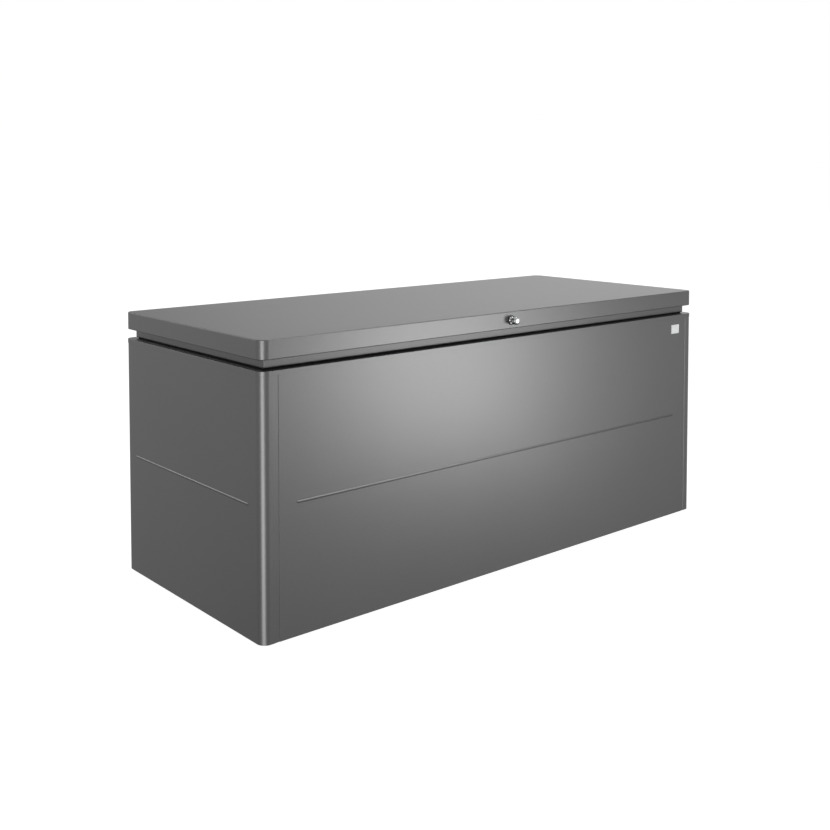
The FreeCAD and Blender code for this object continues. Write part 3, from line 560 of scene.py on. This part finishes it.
def collar_piece(side):
    """One mitred channel of the collar, with its rolled lower bend."""
    low = COLLAR_LOW
    bend = COLLAR_BEND_R
    outer = COLLAR_OUTER
    inner = COLLAR_INNER
    section = [(inner, LID_BOTTOM), (outer, LID_BOTTOM)]
    section += arc((outer + bend, low + bend), bend, 180, 270, steps=8)
    section += [(inner, low), (inner, low + SHEET)]
    section += arc((outer + bend, low + bend), bend - SHEET, 270, 180, steps=8)
    section += [(outer + SHEET, LID_BOTTOM - SHEET), (inner, LID_BOTTOM - SHEET)]
    turn = {"front": 0, "right": 90, "rear": 180, "left": 270}[side]
    reach, half = (OUT_Y, OUT_X) if side in ("front", "rear") else (OUT_X, OUT_Y)
    spin = Matrix.Rotation(math.radians(turn), 3, "Z")
    points = []
    for sign in (-1, 1):
        points += [spin @ Vector((sign * (half - inset), inset - reach, height)) for inset, height in section]
    count = len(section)
    faces = [tuple(range(count)), tuple(range(count, 2 * count))]
    for here in range(count):
        after = (here + 1) % count
        faces.append((here, after, after + count, here + count))
    make_piece("collar_" + side, points, faces, "collar_paint", "lid", ["lid_collar_" + side])


def seal_radius(inset):
    """Corner radius of the seal at an inset."""
    return max(SEAL_OUTER + SEAL_CORNER_R - inset, SEAL_INNER_CORNER_R)


def seal_piece():
    """Rubber seal under the collar, with rounded lower edges."""
    top = seal_high.z
    low = seal_low.z
    outer = SEAL_OUTER
    inner = outer + SEAL_WIDTH
    bulb = (top - low) / 2
    section = [(outer + SEAL_LIP, top), (outer, top - SEAL_LIP)]
    section += arc((outer + bulb, low + bulb), bulb, 180, 270, steps=6)
    section += arc((inner - bulb, low + bulb), bulb, 270, 360, steps=6)
    section += [(inner, top - SEAL_LIP), (inner - SEAL_LIP, top)]
    points, faces = swept_ring(section, seal_radius, True)
    make_piece("seal_bulb", points, faces, "seal", "lid", ["lid_seal"])


# --- Lock and badge ------------------------------------------------------------------------------


def lock_section(name, section, slot_name, body, nodes):
    """A turned piece of the lock, given as (radius, distance out from the lid's face) in millimetres."""
    scaled = [(radius * MM, out * MM) for radius, out in section]
    points, faces = lathe(scaled, LOCK, Vector((0, -1, 0)))
    make_piece(name, points, faces, slot_name, body, nodes, sharp=30)


def rosette_ring():
    """Dark outer ring of the rosette."""
    inner = LIP_R + 0.1
    roll = 0.9
    low_edge = ROSETTE_THICK - 1.0
    section = [(inner, 0), (ROSETTE_R, 0), (ROSETTE_R, low_edge)]
    section += arc((ROSETTE_R - roll, low_edge), roll, 15, 90, steps=4)
    section += [(inner + 0.5, 1.9), (inner + 0.1, 1.7), (inner, 1.4), (inner, 0)]
    lock_section("rosette_ring", section, "lock_dark", "lid", ["lock_rosette"])


def rosette_lip():
    """Plated lip of the rosette round the knob's neck."""
    roll = 0.6
    low_edge = ROSETTE_THICK - roll
    section = [(NECK_HOLE_R, 0), (LIP_R, 0), (LIP_R, low_edge)]
    section += arc((LIP_R - roll, low_edge), roll, 0, 90, steps=4)
    section += [(NECK_HOLE_R + 0.6, ROSETTE_THICK), (NECK_HOLE_R + 0.2, 1.8)]
    section += [(NECK_HOLE_R, 1.5), (NECK_HOLE_R, 0)]
    lock_section("rosette_lip", section, "lock_chrome", "lid", ["lock_rosette"])


def knob():
    """Spindle, neck, flared grip with rolled edges, and the bore for the key plug."""
    section = [(0, -SPINDLE_DEPTH), (SPINDLE_R - 0.6, -SPINDLE_DEPTH), (SPINDLE_R, -SPINDLE_DEPTH + 0.6)]
    section += [(SPINDLE_R, NECK_START), (NECK_R, NECK_START), (NECK_R, NECK_END)]
    section += [(8.4, 11.4), (9.6, 12.6), (12.0, 13.1)]
    section += arc((KNOB_R - 1.4, 14.5), 1.4, -80, 0, steps=5) + [(KNOB_R, 26.0)]
    section += arc((KNOB_R - 1.8, 26.0), 1.8, 10, 75, steps=6)
    section += [(11.2, 28.3), (9.6, 29.2), (8.4, 29.8), (7.2, KNOB_FACE), (6.5, 29.9)]
    section += [(PLUG_BORE_R, 29.6), (PLUG_BORE_R, PLUG_BORE_END), (0, PLUG_BORE_END)]
    lock_section("knob_turning", section, "lock_chrome", "lock_knob", ["lock_knob"])


def badge_piece():
    """Blank plate with a raised edge, on the front panel."""
    centre = (badge_low + badge_high) / 2
    half = Vector(((badge_high.x - badge_low.x) / 2, (badge_high.z - badge_low.z) / 2))
    face = badge_low.y
    back = badge_high.y
    radius = BADGE_CORNER_R
    sunk_start = BADGE_RAISED + 0.3 * MM
    rows = [(0, back, radius), (0, face + BADGE_EDGE, radius), (BADGE_EDGE, face, radius * 0.8)]
    rows += [(BADGE_RAISED, face, radius * 0.6), (sunk_start, face + BADGE_SUNK, radius * 0.5)]
    points = []
    for inset, depth, corner in rows:
        for sign_x, sign_z, start in QUARTERS:
            middle = (sign_x * (half.x - inset - corner), sign_z * (half.y - inset - corner))
            for x, z in arc(middle, corner, start, start + 90, BADGE_CORNER_STEPS):
                points.append(Vector((centre.x + x, depth, centre.z + z)))
    around = len(QUARTERS) * (BADGE_CORNER_STEPS + 1)
    faces = [tuple(range(around)), tuple(range(len(points) - around, len(points)))]
    for row in range(len(rows) - 1):
        for step in range(around):
            after = (step + 1) % around
            here = row * around
            faces.append((here + step, here + after, here + around + after, here + around + step))
    make_piece("badge_blank", points, faces, "badge", "cabinet", ["badge_plate"], sharp=25)


# --- CAD nodes that stay -------------------------------------------------------------------------


def dress_cad_nodes():
    """Gives every CAD node the material of its slot."""
    slots = {part["node"]: part["material_slot"] for part in frame["record"]["subparts"]}
    for name, piece in frame["nodes"].items():
        piece.data.materials.clear()
        piece.data.materials.append(MATERIALS[slots[name]])


# --- Studio --------------------------------------------------------------------------------------

CAMERA_PLACE = Vector((-2.651, -3.028, 1.359))
CAMERA_TURN = 40.34
CAMERA_DIP = 3.0
CAMERA_LENS = 48.09
CAMERA_SENSOR = 36
CAMERA_SHIFT = -0.2253

# Surround's shade at heights from straight down, -1, to straight up, 1
SURROUND = (
    (-1, 0.1), (-0.6, 0.12), (-0.38, 0.38), (-0.16, 0.54),
    (0.1, 0.55), (0.4, 0.3), (0.7, 0.45), (1, 0.7),
)

# Broad glow in the surround, off to the right: its middle, the cosines of the angles from it at which
# the glow starts and is full, and the shade that it adds
GLOW_TOWARDS = (0.866, 0.5, 0)
GLOW_EDGE = 0.785
GLOW_CORE = 0.95
GLOW_SHADE = 0.58

FLOOR_HALF = 30
DOME_RADIUS = 45

# Soft lights: name, place, the point that it faces, width, height and power in watts
LIGHTS = (
    ("key", (1.7, -2.85, 0.28), (-0.25, -0.42, 0.7), 1.0, 1.15, 14.2),
    ("edge", (-3.7, -2.72, -0.35), (-1.0, -0.42, 0.4), 2.3, 3.0, 47),
    ("rear_left", (-2.7, 3.3, 2.2), (-1.0, 0, 0.4), 1.4, 1.4, 14),
    ("fill", (0.5, -2.8, -0.9), (-0.7, -0.42, 0.2), 1.6, 1.2, 0.7),
    ("overhead", (1.6, -2.6, 4.2), (0, 0, 0.6), 2.4, 2.0, 40),
)


def camera():
    """Camera at the front left, above the lid. It dips a little, and the lens shift frames the box."""
    data = bpy.data.cameras.new("camera")
    data.lens = CAMERA_LENS
    data.sensor_width = CAMERA_SENSOR
    data.shift_y = CAMERA_SHIFT
    holder = bpy.data.objects.new("camera", data)
    holder.location = CAMERA_PLACE
    holder.rotation_euler = (math.radians(90 - CAMERA_DIP), 0, math.radians(-CAMERA_TURN))
    bpy.context.scene.collection.objects.link(holder)
    bpy.context.scene.camera = holder


def soft_box(name, place, target, width, height, power):
    """A rectangular soft light that faces a point."""
    data = bpy.data.lights.new(name, "AREA")
    data.shape = "RECTANGLE"
    data.size = width
    data.size_y = height
    data.energy = power
    holder = bpy.data.objects.new(name, data)
    holder.location = place
    holder.rotation_euler = (Vector(target) - Vector(place)).to_track_quat("-Z", "Y").to_euler()
    holder.visible_camera = False
    bpy.context.scene.collection.objects.link(holder)


def surround():
    """Grey surround that the paint reflects: light near the horizon and overhead, dark well below."""
    world = bpy.data.worlds.new("surround")
    world.use_nodes = True
    tree = world.node_tree
    where = tree.nodes.new("ShaderNodeTexCoord")
    parts = tree.nodes.new("ShaderNodeSeparateXYZ")
    tree.links.new(where.outputs["Generated"], parts.inputs["Vector"])
    share = tree.nodes.new("ShaderNodeMapRange")
    share.inputs["From Min"].default_value = -1
    tree.links.new(parts.outputs["Z"], share.inputs["Value"])
    shades = tree.nodes.new("ShaderNodeValToRGB")
    stops = shades.color_ramp.elements
    while len(stops) < len(SURROUND):
        stops.new(0.5)
    for stop, (height, grey) in zip(stops, SURROUND):
        stop.position = (height + 1) / 2
        stop.color = (grey, grey, grey, 1)
    tree.links.new(share.outputs["Result"], shades.inputs["Fac"])
    towards = tree.nodes.new("ShaderNodeVectorMath")
    towards.operation = "DOT_PRODUCT"
    towards.inputs[1].default_value = GLOW_TOWARDS
    tree.links.new(where.outputs["Generated"], towards.inputs[0])
    glow = tree.nodes.new("ShaderNodeMapRange")
    glow.inputs["From Min"].default_value = GLOW_EDGE
    glow.inputs["From Max"].default_value = GLOW_CORE
    glow.inputs["To Max"].default_value = GLOW_SHADE
    tree.links.new(towards.outputs["Value"], glow.inputs["Value"])
    total = tree.nodes.new("ShaderNodeVectorMath")
    total.operation = "ADD"
    tree.links.new(shades.outputs["Color"], total.inputs[0])
    tree.links.new(glow.outputs["Result"], total.inputs[1])
    tree.links.new(total.outputs["Vector"], tree.nodes["Background"].inputs["Color"])
    bpy.context.scene.world = world


def glowing(name, strength, diffuse):
    """A pale surface that stays white whatever falls on it."""
    grey = (diffuse, diffuse, diffuse)
    made, _, shader = new_material(name, grey, 0.0, 0.9, Specular_IOR_Level=0.0, Emission_Strength=strength)
    shader.inputs["Emission Color"].default_value = (1, 1, 1, 1)
    return made


def stage_piece(name, mesh, material, unseen_by):
    """Puts a surface of the studio in the scene, and hides it from some kinds of ray."""
    mesh.materials.append(material)
    surface = bpy.data.objects.new(name, mesh)
    bpy.context.scene.collection.objects.link(surface)
    for ray in unseen_by:
        setattr(surface, ray, False)


def floor():
    """Pale flat floor."""
    half = FLOOR_HALF
    mesh = bpy.data.meshes.new("floor")
    corners = [(-half, -half, 0), (half, -half, 0), (half, half, 0), (-half, half, 0)]
    mesh.from_pydata(corners, [], [(0, 1, 2, 3)])
    unseen_by = ("visible_glossy", "visible_diffuse", "visible_shadow")
    stage_piece("floor", mesh, glowing("floor", 0.97, 0.3), unseen_by)


def dome():
    """White backdrop all round."""
    mesh = bpy.data.meshes.new("dome")
    build = bmesh.new()
    bmesh.ops.create_icosphere(build, subdivisions=4, radius=DOME_RADIUS)
    build.to_mesh(mesh)
    build.free()
    unseen_by = ("visible_glossy", "visible_diffuse", "visible_shadow", "visible_transmission")
    stage_piece("dome", mesh, glowing("dome", 1.0, 0.0), unseen_by)


def studio():
    """Pale floor, white backdrop dome, soft lights and a grey surround for the reflections."""
    floor()
    dome()
    surround()
    for light in LIGHTS:
        soft_box(*light)
    bpy.context.scene.view_settings.view_transform = "Standard"


# --- Build ---------------------------------------------------------------------------------------

camera()
dress_cad_nodes()
long_panel("front")
long_panel("rear")
side_panel("left", -1)
side_panel("right", 1)
rim_piece()
lid_piece()
for wall in ("front", "rear", "left", "right"):
    collar_piece(wall)
seal_piece()
rosette_ring()
rosette_lip()
knob()
badge_piece()
studio()
